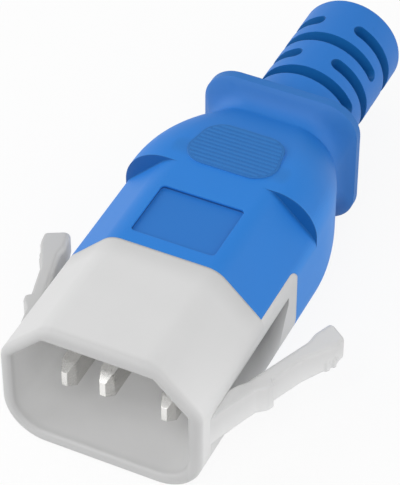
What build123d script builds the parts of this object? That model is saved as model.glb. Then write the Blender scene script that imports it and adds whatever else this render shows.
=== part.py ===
from build123d import *
from math import cos, degrees, radians, sin, sqrt, tan
import os

# Locking plug of a power cord, in millimetres. The origin is the middle of the mouth,
# +Y runs back along the plug to the cord, +Z is up, on the bevelled side.

# Mouth that takes the outlet's nose
cavity_width = 24.5
cavity_height = 16.5
cavity_bevel = 4.7
cavity_depth = 18.0

# Shroud and collar: one outer section with two bevelled upper corners, a wall round the mouth
side_wall = 1.65
top_wall = 2.05
bevel_wall = 1.414
bevel_top_round = 3.6
bevel_side_round = 3.0
corner_radius = 6.0
rim_round = 1.0
lip_edge = 0.3

# White insert behind the mouth
collar_y = 18.8
core_rear_y = 32.0
overmould_wall = 2.2
flank_rear_y = 29.2
flank_top_z = 4.2
flank_low_z = -7.4
flank_corner = 1.5

# Channel in each flank that the latch arm folds into
channel_front_y = 3.6
channel_full_y = 22.4
channel_rear_y = 26.5
channel_height = 5.0
channel_depth = 1.0
channel_run_height = 4.0
channel_run_rise = 0.75
channel_end_height = 1.2
channel_end_run = 2.6
channel_end_depth = 0.06
latch_z = -1.1

# Latch arms, measured along each arm from the bend at its root
bend_y = 3.5
splay_angle_right = 22.7
splay_angle_left = 15.0
arm_height = 4.3
arm_thickness = 2.0
arm_length = 22.3
flexure_at = 3.3
flexure_thickness = 1.3
flexure_clearance = 0.08
shank_full_at = 5.9
tooth_start = 7.4
tooth_crest = 8.9
tooth_back = 10.5
tooth_drop = 0.7
tooth_height = 0.75
arm_edge = 0.25

# Finger pad, measured back from the arm's end
pad_length = 7.0
pad_flat = 2.6
pad_rise = 1.0
tip_bevel = 2.1
tip_drop = 0.8
tip_round = 0.5
end_lean_angle = 10.0
flare_from_end = 4.4
flare_length = 2.3
pad_inner_rise = 0.4
tip_inner_round = 0.9
ridge_count = 2
ridge_from_end = 2.5
ridge_pitch = 1.5
ridge_width = 0.9
ridge_rise = 0.35
ridge_sink = 0.5
ridge_corner = 0.3
ridge_height = 2.6

# Flat blades
blade_thickness = 2.0
blade_height = 4.0
blade_spacing = 14.0
blade_row_z = -2.0
earth_above_row = 4.0
live_tip_y = 4.2
earth_tip_y = 1.35
tip_length = 1.5
tip_thickness = 0.8
tip_height = 2.3
shank_rear_y = 35.0
crimp_radius = 1.7
crimp_length = 6.0

# Overmould: collar, waisted body, flange and cord relief
step_y = 35.3
body_straight_to = 36.4
waist_y = 51.3
waist_width = 19.2
waist_height = 15.4
waist_corner = 6.0
flange_y = 54.1
flange_thickness = 2.1
flange_width = 22.7
flange_inset = 0.2
flange_corner = 4.9
flange_edge = 0.45
flare_power = 2.2
relief_radius = 7.45
relief_end_y = 80.6
relief_round = 1.0
cord_radius = 4.6
cord_seat_y = 52.5

# Slots that let the relief bend
slot_rows = 4
slot_first_y = 62.8
slot_pitch = 4.07
slot_width = 2.1
slot_floor = 0.6
bridge_angle = 35.6

# Label recess and thumb grip on the top
label_front_y = 20.9
label_rear_y = 30.3
label_width = 11.8
label_depth = 0.5
label_corner = 0.6
grip_front_y = 36.1
grip_rear_y = 45.1
grip_front_width = 14.0
grip_rear_width = 10.8
grip_corner = 3.2
grip_rise = 0.2
grip_sink = 1.2
grip_slope = 3.0
rib_count = 11
rib_height = 0.08
rib_share = 0.5
rib_margin = 0.3

# Overlap of pieces that are joined and of cutters past a surface, and the tolerance for finding edges
overlap = 1.0
tiny = 0.01

body_width = cavity_width + 2 * side_wall
body_height = cavity_height + 2 * top_wall
bevel = cavity_bevel + side_wall + top_wall - bevel_wall * sqrt(2)
half_width = body_width / 2
half_height = body_height / 2
side_edge_z = half_height - bevel
flange_height = body_height - 2 * flange_inset


def station(y):
    """Plane across the plug at y, with X to the right and Z up."""
    return Plane((0, y, 0), x_dir=(1, 0, 0), z_dir=(0, -1, 0))


def along(sketch, y0, y1):
    """Carries a section of the plug from y0 to y1."""
    return extrude(station(y0) * sketch, amount=y1 - y0, dir=(0, 1, 0))


def bevelled(width, height, cut, low_round):
    """Rectangle with its two upper corners cut off and its two lower ones rounded."""
    shape = Rectangle(width, height)
    shape = chamfer(shape.vertices().group_by(Axis.Y)[-1], cut)
    return fillet(shape.vertices().group_by(Axis.Y)[0], low_round)


def body_section():
    """Outer section of shroud and collar, with soft edges along both bevels."""
    shape = bevelled(body_width, body_height, bevel, corner_radius)
    shape = fillet(shape.vertices().group_by(Axis.Y)[-1], bevel_top_round)
    upper = [v for v in shape.vertices() if abs(v.Y - side_edge_z) < tiny]
    return fillet(upper, bevel_side_round)


def eased(solid, end_y, back, radius):
    """Rounds the edge round an end plane by three flats that touch the round; back points into the solid."""
    flat = radius * (2 - sqrt(2))
    solid = chamfer([e for e in solid.edges() if abs(e.center().Y - end_y) < tiny], flat)
    rings = (end_y, end_y + back * flat)
    edges = [e for e in solid.edges() for y in rings if abs(e.center().Y - y) < tiny]
    return chamfer(edges, radius * (tan(radians(22.5)) - tan(radians(11.25))))


def mouth():
    """Bevelled space inside the shroud, down to the wall that carries the blades."""
    section = bevelled(cavity_width, cavity_height, cavity_bevel, corner_radius - side_wall)
    return along(section, -overlap, cavity_depth)


def flank(side):
    """Block that reaches from inside the plug to past its side, as high and long as the flank."""
    height = flank_top_z - flank_low_z
    length = flank_rear_y - collar_y
    outline = Pos(collar_y + length / 2, flank_low_z + height / 2) * Rectangle(length, height)
    outline = fillet(outline.vertices().group_by(Axis.X)[-1], flank_corner)
    plane = Plane((0, 0, 0), x_dir=(0, 1, 0), z_dir=(1, 0, 0))
    block = extrude(plane * outline, amount=body_width)
    return block if side > 0 else mirror(block, Plane.YZ)


def channel(side):
    """Trough along the flank: deep under its upper edge, it runs out below and behind."""
    top = latch_z + channel_height / 2
    outside = half_width + overlap
    stations = (
        (channel_front_y, channel_depth, channel_height, channel_run_height),
        (channel_full_y, channel_depth, channel_height, channel_run_height),
        (channel_rear_y, channel_end_depth, channel_end_height, channel_end_run),
    )
    sections = []
    for y, depth, height, run in stations:
        x = half_width - depth
        low = top - height
        floor = [(outside, top), (x, top), (x, low)]
        run_out = [(x + channel_run_rise, low - run), (outside, low - run)]
        sections.append(station(y) * make_face(Polyline(*floor, *run_out, close=True)))
    trough = loft(sections, ruled=True)
    return trough if side > 0 else mirror(trough, Plane.YZ)


def arm_frame(splay):
    """Plane at mid-height of the right arm: X along the arm from its bend, Y outwards."""
    lean = radians(splay)
    return Plane((half_width, bend_y, latch_z), x_dir=(sin(lean), cos(lean), 0), z_dir=(0, 0, -1))


def arm_root(splay):
    """Fixed root of a latch arm: it leaves the shroud's side, thins down and ends in a round seat."""
    frame = arm_frame(splay)
    reach = flexure_at - flexure_thickness / 4
    ends = []
    for s in (-overlap, reach):
        middle = frame.from_local_coords((s, -flexure_thickness / 2, 0))
        across = Plane(middle, x_dir=frame.y_dir, z_dir=frame.x_dir)
        ends.append(across * Rectangle(flexure_thickness, arm_height))
    root = loft(ends)
    seat = Cylinder(flexure_thickness / 2 + flexure_clearance, 2 * channel_height)
    return root - frame * Pos(flexure_at, -flexure_thickness / 2) * seat


def latch_arm(splay):
    """Right-hand latch arm: round root, tapering shank, locking tooth and a flared finger pad with ridges."""
    radius = flexure_thickness / 2
    inner = -arm_thickness - pad_inner_rise
    pad_start = arm_length - pad_length
    flare_start = arm_length - flare_from_end
    flare_end = flare_start + flare_length
    flare_middle = flare_start + flare_length / 2
    tip_crown = pad_rise - tip_drop
    tip_end = arm_length - (tip_crown - inner) * tan(radians(end_lean_angle))
    outline = Polyline(
        (flare_start, -arm_thickness),
        (shank_full_at, -arm_thickness),
        (flexure_at, -flexure_thickness),
        (flexure_at, 0),
        (tooth_start, 0),
        (tooth_crest, tooth_height),
        (tooth_back - tooth_drop, tooth_height),
        (tooth_back, 0),
        (pad_start, 0),
        (arm_length - pad_flat, pad_rise),
        (arm_length - tip_bevel, pad_rise),
        (tip_end, tip_crown),
        (arm_length, inner),
        (flare_end, inner),
    )
    flare = Bezier(
        (flare_end, inner),
        (flare_middle, inner),
        (flare_middle, -arm_thickness),
        (flare_start, -arm_thickness),
    )
    face = make_face([outline, flare])
    face = fillet(face.vertices().sort_by(Axis.X)[-1], tip_inner_round)
    outer_tips = face.vertices().filter_by(lambda v: v.X > arm_length - 1.01 * tip_bevel).sort_by(Axis.Y)[-2:]
    face = fillet(outer_tips, tip_round)
    face += Pos(flexure_at, -radius) * Circle(radius)
    arm = extrude(face, amount=arm_height / 2, both=True)
    long_edges = arm.edges().group_by(Axis.Z)
    arm = chamfer(long_edges[0] + long_edges[-1], arm_edge)
    slope = pad_rise / (pad_length - pad_flat)
    for k in range(ridge_count):
        s = arm_length - ridge_from_end - k * ridge_pitch
        crown = min(pad_rise, slope * (s - pad_start))
        ridge = RectangleRounded(ridge_width, 2 * (ridge_rise + ridge_sink), ridge_corner)
        ridge = extrude(ridge, amount=ridge_height)
        arm += Pos(s, crown - ridge_sink, arm_height / 2 - ridge_height - arm_edge) * ridge
    return arm_frame(splay) * arm


def blade(x, z, tip_y):
    """Flat blade with a tapered tip, a shank through the insert and a crimped tail."""
    tip = loft([station(tip_y) * Pos(x, z) * Rectangle(tip_thickness, tip_height),
                station(tip_y + tip_length) * Pos(x, z) * Rectangle(blade_thickness, blade_height)])
    shank = along(Pos(x, z) * Rectangle(blade_thickness, blade_height), tip_y + tip_length, shank_rear_y)
    tail = along(Pos(x, z) * Circle(crimp_radius), shank_rear_y - overlap, shank_rear_y + crimp_length)
    return tip + shank + tail


def insert(blades):
    """White moulding: shroud, back wall, flanks with their channels, core and arm roots."""
    shroud = along(body_section(), 0, collar_y)
    solid = eased(shroud, 0, 1, min(rim_round, 0.9 * (bevel_wall - lip_edge), 0.9 * (side_wall - lip_edge)))
    inset = 2 * overmould_wall
    core_bevel = bevel - inset + overmould_wall * sqrt(2)
    core = bevelled(body_width - inset, body_height - inset, core_bevel, corner_radius - overmould_wall)
    solid += along(core, collar_y - overlap, core_rear_y)
    sleeve = along(body_section(), collar_y - overlap, flank_rear_y)
    for side in (1, -1):
        solid += sleeve & flank(side)
    solid -= mouth()
    front = solid.faces().sort_by(Axis.Y)[0]
    solid = chamfer(front.inner_wires()[0].edges(), lip_edge)
    for side, splay in ((1, splay_angle_right), (-1, splay_angle_left)):
        solid -= channel(side)
        root = arm_root(splay)
        solid += root if side > 0 else mirror(root, Plane.YZ)
    for piece in blades:
        solid -= piece
    return solid


def waisted_body():
    """Rounded body that narrows to the waist, then flares in a cove to the flange."""
    body = along(RectangleRounded(body_width, body_height, corner_radius), step_y, body_straight_to)
    sections = []
    for t in (0.0, 0.25, 0.5, 0.75, 1.0):
        k = t * t
        w = body_width + k * (waist_width - body_width)
        h = body_height + k * (waist_height - body_height)
        r = corner_radius + k * (waist_corner - corner_radius)
        y = body_straight_to + t * (waist_y - body_straight_to)
        sections.append(station(y) * RectangleRounded(w, h, r))
    body += loft(sections)
    flare = []
    for k in (0.0, 0.4, 0.75, 1.0):
        out = k ** flare_power
        w = waist_width + out * (flange_width - 2 * flange_edge - waist_width)
        h = waist_height + out * (flange_height - 2 * flange_edge - waist_height)
        r = waist_corner + out * (flange_corner - flange_edge - waist_corner)
        y = waist_y + k * (flange_y - waist_y)
        flare.append(station(y) * RectangleRounded(w, h, r))
    return body + loft(flare)


def slot(row, half):
    """One slot of a row: half a ring less the bridges, with round ends. Rows take turns of a quarter."""
    inner = cord_radius + slot_floor
    outer = relief_radius + overlap
    ring = Cylinder(outer, slot_width) - Cylinder(inner, slot_width)
    reach = 180 - bridge_angle - degrees(slot_width / relief_radius)
    wedge = 2 * outer
    wedge_x = wedge * cos(radians(reach / 2))
    wedge_y = wedge * sin(radians(reach / 2))
    low_edge = [(0, 0), (wedge_x, -wedge_y), (wedge, -wedge)]
    high_edge = [(wedge, wedge), (wedge_x, wedge_y)]
    sector = Polyline(*low_edge, *high_edge, close=True)
    keep = extrude(make_face(sector), amount=slot_width, both=True)
    cut = ring & keep
    for turn in (-reach / 2, reach / 2):
        cap = Rot(0, 0, turn) * Pos(inner, 0, 0) * Rot(0, 90, 0) * Cylinder(
            slot_width / 2, outer - inner, align=(Align.CENTER, Align.CENTER, Align.MIN))
        cut += cap
    turn = (90 if row % 2 == 0 else 0) + 180 * half
    return Pos(0, slot_first_y + row * slot_pitch, 0) * Rot(90, 0, 0) * Rot(0, 0, turn) * cut


def thumb_grip():
    """Raised pad on the top with cross ribs, leaning down towards the waist."""
    length = grip_rear_y - grip_front_y
    outline = make_face(Polyline((-grip_front_width / 2, 0), (grip_front_width / 2, 0),
                                 (grip_rear_width / 2, length), (-grip_rear_width / 2, length), close=True))
    outline = fillet(outline.vertices(), grip_corner)
    pad = extrude(outline, amount=grip_rise) + extrude(outline, amount=-grip_sink)
    pitch = (length - 2 * rib_margin) / rib_count
    shrunk = extrude(offset(outline, -rib_margin), amount=grip_rise + rib_height)
    for k in range(rib_count):
        strip = Box(body_width, rib_share * pitch, 2 * body_height)
        pad += shrunk & Pos(0, rib_margin + (k + 0.5) * pitch, 0) * strip
    return Pos(0, grip_front_y, half_height) * Rot(-grip_slope, 0, 0) * pad


def overmould(blades, white):
    """Blue moulding: bevelled collar, waisted body, flange and slotted cord relief, in one piece."""
    solid = along(body_section(), collar_y, step_y)
    solid += waisted_body()
    outline = RectangleRounded(flange_width, flange_height, flange_corner)
    plate = along(outline, flange_y, flange_y + flange_thickness)
    ends = plate.edges().group_by(Axis.Y)
    solid += chamfer(ends[0] + ends[-1], flange_edge)
    relief = along(Circle(relief_radius), flange_y + flange_thickness / 2, relief_end_y)
    solid += eased(relief, relief_end_y, -1, relief_round)
    solid += thumb_grip()
    label = fillet(Rectangle(label_width, label_rear_y - label_front_y).vertices(), label_corner)
    label_y = (label_front_y + label_rear_y) / 2
    solid -= Pos(0, label_y, half_height - label_depth) * extrude(label, amount=overlap)
    solid -= along(Circle(cord_radius), cord_seat_y, relief_end_y + overlap)
    for row in range(slot_rows):
        for half in (0, 1):
            solid -= slot(row, half)
    for piece in [mouth(), flank(1), flank(-1), *blades, white]:
        solid -= piece
    return solid


def main():
    row = blade_row_z
    blades = {
        "line_blade": blade(blade_spacing / 2, row, live_tip_y),
        "neutral_blade": blade(-blade_spacing / 2, row, live_tip_y),
        "earth_blade": blade(0, row + earth_above_row, earth_tip_y),
    }
    white = insert(blades.values())
    nodes = {
        "insert": white,
        "overmould": overmould(blades.values(), white),
        "right_latch_arm": latch_arm(splay_angle_right),
        "left_latch_arm": mirror(latch_arm(splay_angle_left), Plane.YZ),
        **blades,
    }
    os.makedirs("parts", exist_ok=True)
    for name, solid in nodes.items():
        export_step(solid, f"parts/{name}.step")
        print(name, "solids", len(solid.solids()), "volume", round(solid.volume, 1), solid.is_valid)


main()
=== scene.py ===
import bpy
import numpy as np
from mathutils import Matrix


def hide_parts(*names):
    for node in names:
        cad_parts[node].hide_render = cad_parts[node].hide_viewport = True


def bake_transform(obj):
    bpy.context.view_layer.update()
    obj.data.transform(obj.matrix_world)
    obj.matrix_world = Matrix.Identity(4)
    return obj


# Locking plug of a power cord: insert, overmould and blades from the CAD, both latch arms as bent surfaces.
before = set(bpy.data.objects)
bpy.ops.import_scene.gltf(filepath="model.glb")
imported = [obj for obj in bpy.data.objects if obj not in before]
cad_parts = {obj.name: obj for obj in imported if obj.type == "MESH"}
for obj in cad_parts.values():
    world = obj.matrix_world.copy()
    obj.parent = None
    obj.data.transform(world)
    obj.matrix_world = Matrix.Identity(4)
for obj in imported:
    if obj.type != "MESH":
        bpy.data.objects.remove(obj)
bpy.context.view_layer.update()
mm = 0.001


# sRGB hex to linear: c / 12.92 where c is small, else ((c + 0.055) / 1.055) to the power 2.4
def linear(code):
    c = np.array([int(code[i:i + 2], 16) for i in (1, 3, 5)]) / 255
    c = np.where(c > 0.04045, ((c + 0.055) / 1.055) ** 2.4, c / 12.92)
    return (*c.tolist(), 1.0)


# one node with its settings, a shader node unless its kind is given in full; an input given as a node or a
# socket is linked, any other value is set
def addNode(tree, kind, inputs=(), **settings):
    made = tree.nodes.new(kind if "Node" in kind else "ShaderNode" + kind)
    for name, value in settings.items():
        setattr(made, name, value)
    for name, value in dict(inputs).items():
        if isinstance(value, bpy.types.Node):
            value = next(socket for socket in value.outputs if socket.enabled)
        if isinstance(value, bpy.types.NodeSocket):
            tree.links.new(value, made.inputs[name])
        else:
            made.inputs[name].default_value = value
    return made


# inputs of a ramp that is 0 at the first end and 1 at the second
def fromTo(value, ends, unit=mm):
    return {"Value": value, "From Min": ends[0] * unit, "From Max": ends[1] * unit}


# inputs of a comparison that is 1 within half of the middle and 0 outside
def within(value, middle, half):
    return {0: value, 1: middle * mm, 2: half * mm}


# material with an empty node tree
def newMaterial(name):
    made = bpy.data.materials.new(name)
    made.use_nodes = True
    made.node_tree.nodes.clear()
    return made, made.node_tree


# product of several factors as a chain of nodes
def product(tree, first, *others):
    for other in others:
        first = addNode(tree, "Math", {0: first, 1: other}, operation="MULTIPLY")
    return first


# zone that is 1 inside a box and 0 outside: the product over x, y and z of |place - middle| < half
def boxZone(tree, place, middle, half):
    xyz = addNode(tree, "SeparateXYZ", {0: place}).outputs
    near = [addNode(tree, "Math", within(*span), operation="COMPARE") for span in zip(xyz, middle, half)]
    return product(tree, *near)


# moulded plastic: two close tones mixed by a faint cloud noise, then the colour of each zone laid over them
# in turn by the zone's share, some zones the plastic's own colour and some painted light and shade; the
# grain, drawn as coarse as it needs to show, is a bump on edges that the bevel rounds. A mix has its share
# in socket 0 and its two colours in 6 and 7.
def makeMoulded(s, zonesOf):
    made, tree = newMaterial(s["name"])
    place = addNode(tree, "TexCoord").outputs["Object"]
    sizes = (s["cloudMm"], s["cloudDetail"]), (s["grainMm"], s["grainDetail"])
    cloud, grain = [addNode(tree, "TexNoise", {"Vector": place, "Scale": 1 / (size * mm), "Detail": detail})
                    for size, detail in sizes]
    zones, rough = zonesOf(tree, place, s)
    tone = addNode(tree, "Mix", {0: cloud, 6: linear(s["deep"]), 7: linear(s["colour"])}, data_type="RGBA")
    for colour, zone in zones.items():
        tone = addNode(tree, "Mix", {0: zone, 6: tone, 7: linear(s[colour])}, data_type="RGBA")
    rough = addNode(tree, "Math", {0: cloud, 1: s["cloudRough"], 2: rough}, operation="MULTIPLY_ADD")
    edge = addNode(tree, "Bevel", {"Radius": s["edgeMm"] * mm}, samples=s["edgeSamples"])
    bump = addNode(tree, "Bump", {"Strength": s["grainStrength"], "Distance": s["grainDepthMm"] * mm,
                                  "Height": grain, "Normal": edge})
    shader = addNode(tree, "BsdfPrincipled", {"Base Color": tone, "Roughness": rough, "Normal": bump,
                                              "IOR": s["ior"], "Specular IOR Level": s["specular"]})
    addNode(tree, "OutputMaterial", {"Surface": shader})
    return made


# gripMm and slotMm are a middle and a half length; any other pair says where a ramp is 0 and where it is 1
bluePvc = {
    "name": "moulded flexible PVC, blue", "colour": "#1d7cd4", "deep": "#1b78ce",
    "ior": 1.53, "specular": 0.4, "roughness": 0.5, "cloudRough": 0.08, "gripRoughness": 0.62,
    "cloudMm": 7.0, "cloudDetail": 3.0, "grainMm": 0.22, "grainDetail": 2.0,
    "grainDepthMm": 0.004, "grainStrength": 1.0, "edgeMm": 0.15, "edgeSamples": 8,
    # the side colour is a painted sheen; the label wall, step, slot and flange colours are painted shade;
    # the rib colour is painted light
    "sideColour": "#2886de", "sideFacing": (0.8, 0.95), "rearColour": "#1a73c8", "rearMm": (42.0, 50.0),
    "grooveColour": "#226db5", "gripMm": (40.65, 4.65), "gripFall": 0.0524, "gripFootMm": (12.22, 12.34),
    "ribColour": "#2675c0", "ribMm": (12.4, 12.45),
    "labelColour": "#1c70c2", "labelMidMm": (0.0, 25.6, 9.6), "labelHalfMm": (5.9, 4.7, 0.35),
    "labelWallColour": "#0f4c8c", "labelWallMm": 0.12, "labelWallFacing": 0.5,
    "stepColour": "#0b5ea4", "stepMidMm": (0.0, 34.4, 7.0), "stepHalfMm": (14.0, 0.95, 4.0),
    "stepFacing": -0.9, "stepSoftMm": 1.1, "stepSoftFacing": (0.0, -0.6), "stepSoftShare": 0.8,
    "slotColour": "#0f6ab0", "slotMm": (68.0, 9.5), "slotRadiusMm": (7.42, 7.34),
    "flangeColour": "#216db9", "flangeMm": (50.5, 53.5), "flangeRearMm": 56.6,
}


# flexible PVC, injection moulded over the insert: even satin blue with a faint cloudiness and a fine
# spark-eroded grain that breaks up the highlights. The sides have a painted sheen and the rear is deeper,
# the thumb pad is greyer and duller with painted light on its ribs, the label recess is deeper, and its
# walls, the step behind the bevels, the slots and the flange have painted shade.
def pvcZones(tree, place, s):
    y, z = addNode(tree, "SeparateXYZ", {0: place}).outputs[1:]
    facet = addNode(tree, "NewGeometry").outputs["True Normal"]
    across, along, up = addNode(tree, "SeparateXYZ", {0: facet}).outputs
    aside = addNode(tree, "Math", {0: across}, operation="ABSOLUTE")
    sides = addNode(tree, "MapRange", fromTo(aside, s["sideFacing"], 1))
    rear = addNode(tree, "MapRange", fromTo(y, s["rearMm"]))
    # thumb pad: inside its length and above its leaning plane, z + fall * y; its ribs, higher still, get
    # painted light
    span = addNode(tree, "Math", within(y, *s["gripMm"]), operation="COMPARE")
    level = addNode(tree, "Math", {0: y, 1: s["gripFall"], 2: z}, operation="MULTIPLY_ADD")
    above, onRib = [addNode(tree, "MapRange", fromTo(level, s[key])) for key in ("gripFootMm", "ribMm")]
    pad = product(tree, span, above)
    rough = addNode(tree, "MapRange", {"Value": pad, "To Min": s["roughness"],
                                       "To Max": s["gripRoughness"]})
    # label recess, and its walls with painted shade, where the surface there doesn't look up
    label = boxZone(tree, place, s["labelMidMm"], s["labelHalfMm"])
    steep = addNode(tree, "Math", {0: up, 1: s["labelWallFacing"]}, operation="LESS_THAN")
    wallHalf = [half + s["labelWallMm"] for half in s["labelHalfMm"]]
    wall = product(tree, boxZone(tree, place, s["labelMidMm"], wallHalf), steep)
    # step behind the collar's bevels: painted shade where the surface looks to the front, softly run in
    # before it
    soft = addNode(tree, "Bevel", {"Radius": s["stepSoftMm"] * mm}, samples=s["edgeSamples"])
    softAlong = addNode(tree, "SeparateXYZ", {0: soft}).outputs["Y"]
    gentle = addNode(tree, "MapRange", {**fromTo(softAlong, s["stepSoftFacing"], 1),
                                        "To Max": s["stepSoftShare"]})
    sharp = addNode(tree, "Math", {0: along, 1: s["stepFacing"]}, operation="LESS_THAN")
    ahead = addNode(tree, "Math", {0: sharp, 1: gentle}, operation="MAXIMUM")
    step = product(tree, boxZone(tree, place, s["stepMidMm"], s["stepHalfMm"]), ahead)
    # slots: painted shade inside the relief's round, measured across y
    flat = addNode(tree, "VectorMath", {0: place, 1: (1, 0, 1)}, operation="MULTIPLY")
    radius = addNode(tree, "VectorMath", {0: flat}, operation="LENGTH")
    sunk = addNode(tree, "MapRange", fromTo(radius, s["slotRadiusMm"]))
    rows = addNode(tree, "Math", within(y, *s["slotMm"]), operation="COMPARE")
    # flange: painted shade on its front face and the cove before it, rising along y
    rise = addNode(tree, "MapRange", fromTo(y, s["flangeMm"]))
    front = addNode(tree, "Math", {0: y, 1: s["flangeRearMm"] * mm}, operation="LESS_THAN")
    zones = {"sideColour": sides, "rearColour": rear,
             "grooveColour": pad, "ribColour": product(tree, pad, onRib),
             "labelColour": label, "labelWallColour": wall, "stepColour": step,
             "slotColour": product(tree, sunk, rows), "flangeColour": product(tree, rise, front)}
    return zones, rough


# troughMm is a middle and a half depth; any other pair says where a ramp is 0 and where it is 1
whiteNylon = {
    "name": "moulded nylon, white", "colour": "#dadada", "deep": "#d5d5d5",
    "ior": 1.53, "specular": 0.35, "roughness": 0.48, "cloudRough": 0.1,
    "cloudMm": 6.0, "cloudDetail": 3.0, "grainMm": 0.18, "grainDetail": 2.0,
    "grainDepthMm": 0.003, "grainStrength": 1.0, "edgeMm": 0.7, "edgeSamples": 8,
    # the pale colour is painted light on the right side's front; the shade, mouth front, mouth floor and rim
    # colours are painted shade; the mouth back colour is painted light
    "pale": "#e4e4e4", "paleAsideMm": (9.0, 13.5), "paleRunMm": (14.0, 1.0),
    "shade": "#6c6c6c", "flankMm": (20.0, 29.0), "flankShare": 0.12,
    "troughMm": (13.24, 0.64), "troughFrontMm": (5.0, 20.0), "troughTopMm": 1.42,
    "troughFadeMm": (-6.8, -0.8), "troughPower": 0.55, "troughRearMm": 22.4, "troughRearSlope": 1.1,
    "sideMm": 13.95, "collarMm": 18.8, "collarGapMm": 0.05, "collarFadeMm": 4.0, "collarShare": 0.16,
    "collarRiseMm": (2.0, 6.0),
    "mouthMidMm": (0.0, 8.5, 0.0), "mouthHalfMm": (12.3, 9.6, 8.3), "mouthBevelMm": 16.3,
    "mouthFront": "#d2d2d2", "mouthBack": "#ffffff", "mouthRunMm": (0.0, 9.0),
    "mouthFloor": "#d0d0d0", "mouthFloorMm": (-6.0, -8.2), "mouthFloorShare": 0.35,
    "rim": "#c3c3c3", "rimMm": (1.5, 0.1), "rimRiseMm": (-30.0, -1.0),
}


# white nylon, injection moulded: opaque and matt, with a very faint mottling and fine grain. The front of
# its right side has painted light. Painted shade lies under the upper edge of each trough, fading downwards
# and to the front, and a little towards the overmould, at the rear of the flanks and on the rim. The mouth's
# lining has painted shade, with painted light growing towards its back, standing in for light going through
# the thin walls, and painted shade on its floor.
def insertZones(tree, place, s):
    x, y, z = addNode(tree, "SeparateXYZ", {0: place}).outputs
    aside = addNode(tree, "Math", {0: x}, operation="ABSOLUTE")
    # painted light on the front of the right side
    rightSide = addNode(tree, "MapRange", fromTo(x, s["paleAsideMm"]))
    front = addNode(tree, "MapRange", fromTo(y, s["paleRunMm"]))
    # trough: painted shade a little inside the side plane, below the upper edge; its lower end climbs behind
    shell = addNode(tree, "Math", within(aside, *s["troughMm"]), operation="COMPARE")
    past = addNode(tree, "Math", {0: y, 1: s["troughRearMm"] * mm}, operation="SUBTRACT", use_clamp=True)
    height = addNode(tree, "Math", {0: past, 1: -s["troughRearSlope"], 2: z}, operation="MULTIPLY_ADD")
    fade = addNode(tree, "MapRange", fromTo(height, s["troughFadeMm"]))
    fade = addNode(tree, "Math", {0: fade, 1: s["troughPower"]}, operation="POWER")
    under = addNode(tree, "Math", {0: z, 1: s["troughTopMm"] * mm}, operation="LESS_THAN")
    behind = addNode(tree, "MapRange", fromTo(y, s["troughFrontMm"]))
    trough = product(tree, shell, fade, under, behind)
    # shade towards the overmould, on the shroud's top and bevels alone
    fadeRun = (s["collarMm"] - s["collarFadeMm"], s["collarMm"])
    band = addNode(tree, "MapRange", {**fromTo(y, fadeRun), "To Max": s["collarShare"]},
                   interpolation_type="SMOOTHSTEP")
    showTo = s["collarMm"] + s["collarGapMm"]
    shown = addNode(tree, "Math", {0: y, 1: showTo * mm}, operation="LESS_THAN")
    inside = addNode(tree, "Math", {0: aside, 1: s["sideMm"] * mm}, operation="LESS_THAN")
    upper = addNode(tree, "MapRange", fromTo(z, s["collarRiseMm"]))
    collar = product(tree, band, shown, inside, upper)
    # painted shade at the rear of the flanks
    flank = addNode(tree, "MapRange", {**fromTo(y, s["flankMm"]), "To Max": s["flankShare"]})
    dark = addNode(tree, "Math", {0: trough, 1: collar}, operation="MAXIMUM")
    dark = addNode(tree, "Math", {0: dark, 1: flank}, operation="MAXIMUM")
    # mouth: a box less its bevelled upper corners, where |x| + z passes the bevel; its lining has painted
    # shade, with painted light growing towards the back and painted shade on its floor
    slant = addNode(tree, "Math", {0: aside, 1: z}, operation="ADD")
    slant = addNode(tree, "Math", {0: slant, 1: s["mouthBevelMm"] * mm}, operation="LESS_THAN")
    mouth = product(tree, boxZone(tree, place, s["mouthMidMm"], s["mouthHalfMm"]), slant)
    depth = addNode(tree, "MapRange", fromTo(y, s["mouthRunMm"]))
    floor = addNode(tree, "MapRange", {**fromTo(z, s["mouthFloorMm"]), "To Max": s["mouthFloorShare"]})
    # painted shade on the rim at the front, fading out towards the bottom
    rim = addNode(tree, "MapRange", fromTo(y, s["rimMm"]), interpolation_type="SMOOTHSTEP")
    rise = addNode(tree, "MapRange", fromTo(z, s["rimRiseMm"]))
    zones = {"pale": product(tree, rightSide, front), "shade": dark,
             "mouthFront": mouth, "mouthBack": product(tree, mouth, depth),
             "mouthFloor": product(tree, mouth, floor), "rim": product(tree, rim, rise)}
    return zones, s["roughness"]


# the shade colour is painted shade on the left arm, the pale and low colours are painted light, and the
# corner colour is painted shade on the upper outer edge
armNylon = {
    **whiteNylon, "name": "moulded nylon, white, thin arm", "edgeMm": 0.25,
    "shade": "#c6c6c6", "pale": "#fafafa", "innerFacing": (-0.3, -0.9),
    "low": "#e8e8e8", "lowMm": (0.0, -3.3), "corner": "#a6a6a6", "cornerShare": 0.23,
}


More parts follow.
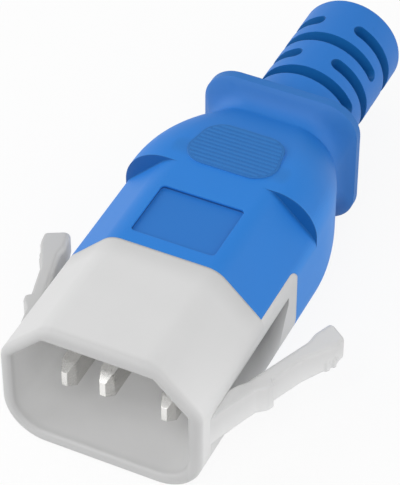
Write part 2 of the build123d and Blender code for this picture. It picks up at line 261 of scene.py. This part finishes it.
# the same nylon in the thin arms: painted shade on the left arm, painted light on the side of both that
# looks at the shroud, standing in for light going through them, and painted light below on the right one.
# Out is sign(x) times the normal's x. The outer upper edge has painted shade by its share of 2 * out * up,
# which is 1 at 45 degrees.
def armZones(tree, place, s):
    xyz = addNode(tree, "SeparateXYZ", {0: place}).outputs
    normal = addNode(tree, "NewGeometry").outputs["Normal"]
    facing = addNode(tree, "SeparateXYZ", {0: normal}).outputs
    out = product(tree, facing["X"], addNode(tree, "Math", {0: xyz["X"]}, operation="SIGN"))
    left = addNode(tree, "Math", {0: xyz["X"], 1: 0.0}, operation="LESS_THAN")
    right = addNode(tree, "Math", {0: 1.0, 1: left}, operation="SUBTRACT")
    inner = addNode(tree, "MapRange", fromTo(out, s["innerFacing"], 1))
    low = addNode(tree, "MapRange", fromTo(xyz["Z"], s["lowMm"]))
    corner = addNode(tree, "Math", {0: product(tree, out, facing["Z"]), 1: 2 * s["cornerShare"]},
                     operation="MULTIPLY", use_clamp=True)
    zones = {"shade": left, "pale": inner, "low": product(tree, low, right), "corner": corner}
    return zones, s["roughness"]


nickelBrass = {
    "name": "drawn brass, nickel plated", "colour": "#f6f5f3", "deep": "#ecebe8",
    # the flat colour is painted shade on the blade's flat sides
    "flatShadeColour": "#d2d1ce", "flatFacing": (0.85, 1.0), "metallic": 1.0, "roughness": 0.2, "drawRough": 0.12,
    "drawMm": 0.12, "drawStretch": 14.0, "drawDetail": 3.0, "drawDepthMm": 0.002, "drawStrength": 1.0,
    "edgeMm": 0.06, "edgeSamples": 6,
}


# brass strip, drawn and nickel plated: bright silver with fine draw lines along the blade and painted shade
# on its flat sides; the lines, drawn as coarse as they need to show, are a noise stretched along y by the
# mapping
def makeNickelBrass(s):
    made, tree = newMaterial(s["name"])
    place = addNode(tree, "TexCoord").outputs["Object"]
    fine = 1 / (s["drawMm"] * mm)
    stretch = addNode(tree, "Mapping", {"Vector": place, "Scale": (fine, fine / s["drawStretch"], fine)})
    draw = addNode(tree, "TexNoise", {"Vector": stretch, "Scale": 1.0, "Detail": s["drawDetail"]})
    tone = addNode(tree, "Mix", {0: draw, 6: linear(s["deep"]), 7: linear(s["colour"])}, data_type="RGBA")
    facet = addNode(tree, "NewGeometry").outputs["True Normal"]
    across = addNode(tree, "SeparateXYZ", {0: facet}).outputs["X"]
    aside = addNode(tree, "Math", {0: across}, operation="ABSOLUTE")
    flat = addNode(tree, "MapRange", fromTo(aside, s["flatFacing"], 1))
    tone = addNode(tree, "Mix", {0: flat, 6: tone, 7: linear(s["flatShadeColour"])}, data_type="RGBA")
    rough = addNode(tree, "Math", {0: draw, 1: s["drawRough"], 2: s["roughness"]}, operation="MULTIPLY_ADD")
    edge = addNode(tree, "Bevel", {"Radius": s["edgeMm"] * mm}, samples=s["edgeSamples"])
    bump = addNode(tree, "Bump", {"Strength": s["drawStrength"], "Distance": s["drawDepthMm"] * mm,
                                  "Height": draw, "Normal": edge})
    shader = addNode(tree, "BsdfPrincipled", {"Base Color": tone, "Roughness": rough, "Normal": bump,
                                              "Metallic": s["metallic"]})
    addNode(tree, "OutputMaterial", {"Surface": shader})
    return made


blue = makeMoulded(bluePvc, pvcZones)
white = makeMoulded(whiteNylon, insertZones)
armWhite = makeMoulded(armNylon, armZones)
nickel = makeNickelBrass(nickelBrass)
print("materials:", blue.name, "|", white.name, "|", armWhite.name, "|", nickel.name)

cadShading = {"weldMm": 0.002, "sharpDegrees": 32.0}


# smooth shading for loose triangles: merge doubles, shade all faces smooth, keep edges past the angle sharp
def makeSmoothGroup(s):
    tree = bpy.data.node_groups.new("smooth by angle", "GeometryNodeTree")
    for way in ("INPUT", "OUTPUT"):
        tree.interface.new_socket("Geometry", in_out=way, socket_type="NodeSocketGeometry")
    start = addNode(tree, "NodeGroupInput")
    weld = addNode(tree, "GeometryNodeMergeByDistance", {"Geometry": start, "Distance": s["weldMm"] * mm})
    faces = addNode(tree, "GeometryNodeSetShadeSmooth", {"Geometry": weld, "Shade Smooth": True},
                    domain="FACE")
    angle = addNode(tree, "GeometryNodeInputMeshEdgeAngle").outputs["Unsigned Angle"]
    sharp = np.radians(s["sharpDegrees"])
    soft = addNode(tree, "FunctionNodeCompare", {0: angle, 1: sharp}, operation="LESS_THAN")
    edges = addNode(tree, "GeometryNodeSetShadeSmooth", {"Geometry": faces, "Shade Smooth": soft},
                    domain="EDGE")
    addNode(tree, "NodeGroupOutput", {0: edges})
    return tree


smoothGroup = makeSmoothGroup(cadShading)
nodeLooks = {"insert": white, "overmould": blue, "right_latch_arm": armWhite, "left_latch_arm": armWhite,
             "line_blade": nickel, "neutral_blade": nickel, "earth_blade": nickel}
for name, look in nodeLooks.items():
    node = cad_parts[name]
    node.data.materials.clear()
    node.data.materials.append(look)
    node.modifiers.new("smooth", "NODES").node_group = smoothGroup
    node.modifiers.new("weighted", "WEIGHTED_NORMAL").keep_sharp = True
print("CAD nodes dressed:", len(nodeLooks))

# lengths run along the arm from its bend; outer and inner are measured outwards from the shroud's side
latchArm = {
    "arms": {"right": (1, 22.7, 22.45), "left": (-1, 15.0, 22.45)},  # side of x, splay in degrees, length
    "bendMm": (13.9, 3.5), "bendReachMm": 1.6, "startMm": -2.8, "blendMm": (1.0, 5.6), "middleMm": -1.1,
    "stepMm": 0.06, "capSteps": 9, "arcPoints": 7, "sidePoints": (22, 8, 12, 8),
    "topAtMm": (1.2, 1.8, 5.4, 8.0), "topMm": (1.43, 1.37, 1.37, 1.1),
    "lowAtMm": (0.0, 15.0, 18.0, 20.8, 22.4), "lowMm": (-3.3, -3.22, -2.92, -2.75, -2.15),
    "outerAtMm": (3.5, 5.5, 7.4, 8.9, 9.8, 10.05, 15.2, 19.6, 20.9, 22.45),
    "outerMm": (0.06, 0.0, 0.0, 0.74, 0.74, 0.0, 0.0, 1.0, 1.05, 0.95),
    "outerSoftenMm": 0.1, "lowSoftenMm": 0.4, "softenSteps": 9,
    "innerAtMm": (0.3, 2.4), "innerMm": (-1.2, -2.02),
    "buryMm": (-1.7, 0.7, 0.3), "flareMm": (17.8, 20.0, 0.48),  # from, to, how far
    "cornerMm": 0.25, "innerCornerMm": (5.4, 8.0, 0.75), "outerCornerMm": (3.2, 6.0, 0.4),
    "endRoundMm": 0.22, "innerEndRoundMm": 0.5, "endLean": 0.237, "endLeanFromMm": 18.5,
    "ridgesMm": (18.9, 20.35), "ridgeRiseMm": 0.26,
    "ridgeHalfMm": (0.5, 0.225), "ridgeSkinMm": (0.3, 0.02),  # where they begin and where they are full
    "ridgeTopMm": (-1.05, -1.3), "ridgeLowMm": (-3.25, -2.9),
}


# smoothstep: 3t^2 - 2t^3 with t running from 0 at a to 1 at b
def smooth(x, a, b):
    t = np.clip((x - a) / (b - a), 0, 1)
    return t * t * (3 - 2 * t)


# section of the arm at each length: outer, inner, top and low bounds as ramps along the arm, drawn in at
# the end by r - sqrt(r^2 - (at - (length - r))^2), and a rounded rectangle between them, whose upper radii
# grow along the arm
def armSection(at, length, s):
    blur = np.linspace(-1, 1, s["softenSteps"])  # two ramps are softened by their mean over a short length
    outer = np.interp(at[:, None] + s["outerSoftenMm"] * blur, s["outerAtMm"], s["outerMm"]).mean(1)
    low = np.interp(at[:, None] + s["lowSoftenMm"] * blur, s["lowAtMm"], s["lowMm"]).mean(1)
    top = np.interp(at, s["topAtMm"], s["topMm"])
    inner = np.interp(at, s["innerAtMm"], s["innerMm"])
    begin, end, buried = s["buryMm"]
    outer -= buried * (1 - smooth(at, begin, end))
    begin, end, flared = s["flareMm"]
    inner -= flared * smooth(at, begin, end)
    drawn, innerDrawn = [r - np.sqrt(np.maximum(r ** 2 - np.maximum(at - (length - r), 0) ** 2, 0))
                         for r in (s["endRoundMm"], s["innerEndRoundMm"])]
    outer, inner, top, low = outer - drawn, inner + innerDrawn, top - drawn, low + drawn
    small = np.full_like(at, s["cornerMm"])
    outerTop, innerTop = [small + (full - s["cornerMm"]) * smooth(at, begin, end)
                          for begin, end, full in (s["outerCornerMm"], s["innerCornerMm"])]
    # bounds, their signs, the arc's first angle and radius: outer low, outer top, inner top, inner low
    corners = ((outer, low, 1, -1, -90, small), (outer, top, 1, 1, 0, outerTop),
               (inner, top, -1, 1, 90, innerTop), (inner, low, -1, -1, 180, small))
    arcs = []
    for q, z, qSign, zSign, turn, radius in corners:
        phi = np.radians(turn + np.linspace(0, 90, s["arcPoints"]))
        arcs.append(np.stack([(q - qSign * radius)[:, None] + radius[:, None] * np.cos(phi),
                              (z - zSign * radius)[:, None] + radius[:, None] * np.sin(phi)], -1))
    ring = []
    for arc, following, count in zip(arcs, arcs[1:] + arcs[:1], s["sidePoints"]):
        share = (np.arange(1, count + 1) / (count + 1))[:, None]
        ring += [arc, arc[:, -1:] * (1 - share) + following[:, :1] * share]
    ring = np.concatenate(ring, 1)
    return ring[..., 0], ring[..., 1], outer[:, None], inner[:, None]


# path of the arm: the shroud's side line, a quadratic curve (1-t)^2 A + 2t(1-t) B + t^2 C about the bend
# point B, and a straight line at the splay; gives the point at each length and the outward normal there
def armPath(run, splay, s):
    lean = np.radians(splay)
    side, arm = np.array([0, 1]), np.array([np.sin(lean), np.cos(lean)])
    bend, reach = np.array(s["bendMm"]), s["bendReachMm"]
    t = np.clip((run + reach) / (2 * reach), 0, 1)[..., None]
    point = (1 - t) ** 2 * (bend - reach * side) + 2 * t * (1 - t) * bend + t ** 2 * (bend + reach * arm)
    point += np.minimum(run + reach, 0)[..., None] * side + np.maximum(run - reach, 0)[..., None] * arm
    tangent = (1 - t) * side + t * arm
    tangent /= np.linalg.norm(tangent, axis=-1, keepdims=True)
    return point, np.stack([tangent[..., 1], -tangent[..., 0]], -1)


# one latch arm: the section carried along the path, at point + q * normal across and at z up, as rings from
# root to end; ridges are added to q, the end leans back by a share of q, and each end is closed by a fan
def makeArm(name, side, splay, length, s):
    rounding = s["endRoundMm"]
    body = np.arange(s["startMm"], length - rounding, s["stepMm"])
    cap = length - rounding + rounding * np.sin(np.linspace(0, np.pi / 2, s["capSteps"]))
    at = np.concatenate([body, cap])
    q, z, outer, inner = armSection(at, length, s)
    at = at[:, None]
    # finger ridges stand on the outer side, on the lower part of the pad
    skin = smooth(q, outer - s["ridgeSkinMm"][0], outer - s["ridgeSkinMm"][1])
    height = smooth(z, *s["ridgeLowMm"]) * smooth(z, *s["ridgeTopMm"])
    for centre in s["ridgesMm"]:
        q = q + s["ridgeRiseMm"] * skin * height * smooth(np.abs(at - centre), *s["ridgeHalfMm"])
    run = at - s["endLean"] * (q - inner) * smooth(at, s["endLeanFromMm"], length)
    point, normal = armPath(run, splay, s)
    point += q[..., None] * normal
    grid = np.stack([side * point[..., 0], point[..., 1], z], -1) * mm
    rows, columns = grid.shape[:2]
    verts = np.concatenate([grid.reshape(-1, 3), grid[:1].mean(1), grid[-1:].mean(1)])
    j = np.arange(columns)
    after = (j + 1) % columns
    i = np.arange(rows - 1)[:, None] * columns
    quads = np.stack([i + j, i + columns + j, i + columns + after, i + after], -1).reshape(-1, 4)
    last = (rows - 1) * columns
    root, tip = np.full(columns, rows * columns), np.full(columns, rows * columns + 1)
    fans = np.concatenate([np.stack([after, root, j], -1), np.stack([last + j, tip, last + after], -1)])
    if side > 0:  # the mirrored arm is wound the other way
        quads, fans = quads[:, ::-1], fans[:, ::-1]
    mesh = bpy.data.meshes.new(name)
    mesh.from_pydata(verts.tolist(), [], quads.tolist() + fans.tolist())
    mesh.polygons.foreach_set("use_smooth", np.ones(len(mesh.polygons), bool))
    mesh.materials.append(armWhite)
    piece = bpy.data.objects.new(name, mesh)
    bpy.context.scene.collection.objects.link(piece)
    return piece


for hand, (side, splay, length) in latchArm["arms"].items():
    piece = makeArm(hand + "LatchArm", side, splay, length, latchArm)
    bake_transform(piece)
    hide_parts(hand + "_latch_arm")
    print(piece.name, len(piece.data.polygons), "faces")

studio = {
    "floorMm": -10.35, "floorSizeMm": 4000.0, "floorColour": "#f2f2f2", "floorWhite": 0.9,
    "white": "#ffffff", "whiteStrength": 1.0, "worldLight": 0.36, "aimMm": (0, 30, 0),
    "lamps": {  # place and size in mm, power in watts
        "leftPanel": ((-420, -60, 260), 500, 1.5),
        "rightPanel": ((420, 60, 220), 500, 0.95),
        "frontPanel": ((40, -330, 380), 400, 1.0),
    },
}


# 1 for the rays that show the background, straight, in gloss or through glass, else 0: their sum, clamped
def showsBackground(tree):
    ray = addNode(tree, "LightPath").outputs
    glance = addNode(tree, "Math", {0: ray["Is Camera Ray"], 1: ray["Is Glossy Ray"]}, operation="ADD")
    through = ray["Is Transmission Ray"]
    return addNode(tree, "Math", {0: glance, 1: through}, operation="ADD", use_clamp=True)


# pale painted floor: white to the eye for the given share, the rest its own lit colour, so the shadow stays
def makeFloor(s):
    made, tree = newMaterial("painted studio floor")
    share = product(tree, showsBackground(tree), s["floorWhite"])
    paint = addNode(tree, "BsdfDiffuse", {"Color": linear(s["floorColour"])})
    glow = addNode(tree, "Emission", {"Color": linear(s["white"]), "Strength": s["whiteStrength"]})
    mixed = addNode(tree, "MixShader", {0: share, 1: paint, 2: glow})
    addNode(tree, "OutputMaterial", {"Surface": mixed})
    half, z = s["floorSizeMm"] / 2 * mm, s["floorMm"] * mm
    mesh = bpy.data.meshes.new("floor")
    corners = [(-half, -half, z), (half, -half, z), (half, half, z), (-half, half, z)]
    mesh.from_pydata(corners, [], [(0, 1, 2, 3)])
    mesh.materials.append(made)
    floor = bpy.data.objects.new("floor", mesh)
    bpy.context.scene.collection.objects.link(floor)


# even sky: soft fill for the object, plain white where the background is seen
def makeWorld(s):
    world = bpy.data.worlds.new("studio")
    bpy.context.scene.world = world
    world.use_nodes = True
    tree = world.node_tree
    tree.nodes.clear()
    level = addNode(tree, "MapRange", {"Value": showsBackground(tree), "To Min": s["worldLight"],
                                       "To Max": s["whiteStrength"]})
    sky = addNode(tree, "Background", {"Color": linear(s["white"]), "Strength": level})
    addNode(tree, "OutputWorld", {"Surface": sky})


# matrix with the columns right, up, back and place; lamps and cameras look against back
def standing(right, up, back, placeMm):
    turn = np.eye(4)
    turn[:3] = np.stack([right, up, back, np.array(placeMm) * mm], 1)
    return Matrix(turn.tolist())


# square panels that look at one point: back is place - aim, right is level, both of length 1
def makeLamps(s):
    for name, (place, size, power) in s["lamps"].items():
        lamp = bpy.data.lights.new(name, "AREA")
        lamp.shape = "SQUARE"
        lamp.size = size * mm
        lamp.energy = power
        back = np.array(place, float) - np.array(s["aimMm"])
        back /= np.linalg.norm(back)
        right = np.cross([0, 0, 1], back)
        right /= np.linalg.norm(right)
        panel = bpy.data.objects.new(name, lamp)
        panel.matrix_world = standing(right, np.cross(back, right), back, place)
        bpy.context.scene.collection.objects.link(panel)


makeFloor(studio)
makeWorld(studio)
makeLamps(studio)
print("studio:", len(studio["lamps"]), "lamps")

view = {"azimuth": 25.593, "elevation": 43.054, "focalPx": 2443.39, "heightPx": 485, "sensorMm": 36.0,
        "acrossMm": 12.6, "upMm": 20.397, "awayMm": 301.439, "clipMm": 10.0}


# camera: right, up and back axes from azimuth and elevation; its place is the sum of each axis times its
# distance
def makeCamera(s):
    az, el = np.radians(s["azimuth"]), np.radians(s["elevation"])
    right = np.array([np.cos(az), np.sin(az), 0])
    back = np.array([np.sin(az) * np.cos(el), -np.cos(az) * np.cos(el), np.sin(el)])
    up = np.cross(back, right)
    lens = bpy.data.cameras.new("camera")
    lens.sensor_width = s["sensorMm"]
    lens.lens = s["focalPx"] * s["sensorMm"] / s["heightPx"]
    lens.clip_start = s["clipMm"] * mm
    camera = bpy.data.objects.new("camera", lens)
    place = s["acrossMm"] * right + s["upMm"] * up + s["awayMm"] * back
    camera.matrix_world = standing(right, up, back, place)
    bpy.context.scene.collection.objects.link(camera)
    bpy.context.scene.camera = camera


makeCamera(view)
bpy.context.scene.view_settings.view_transform = "Standard"
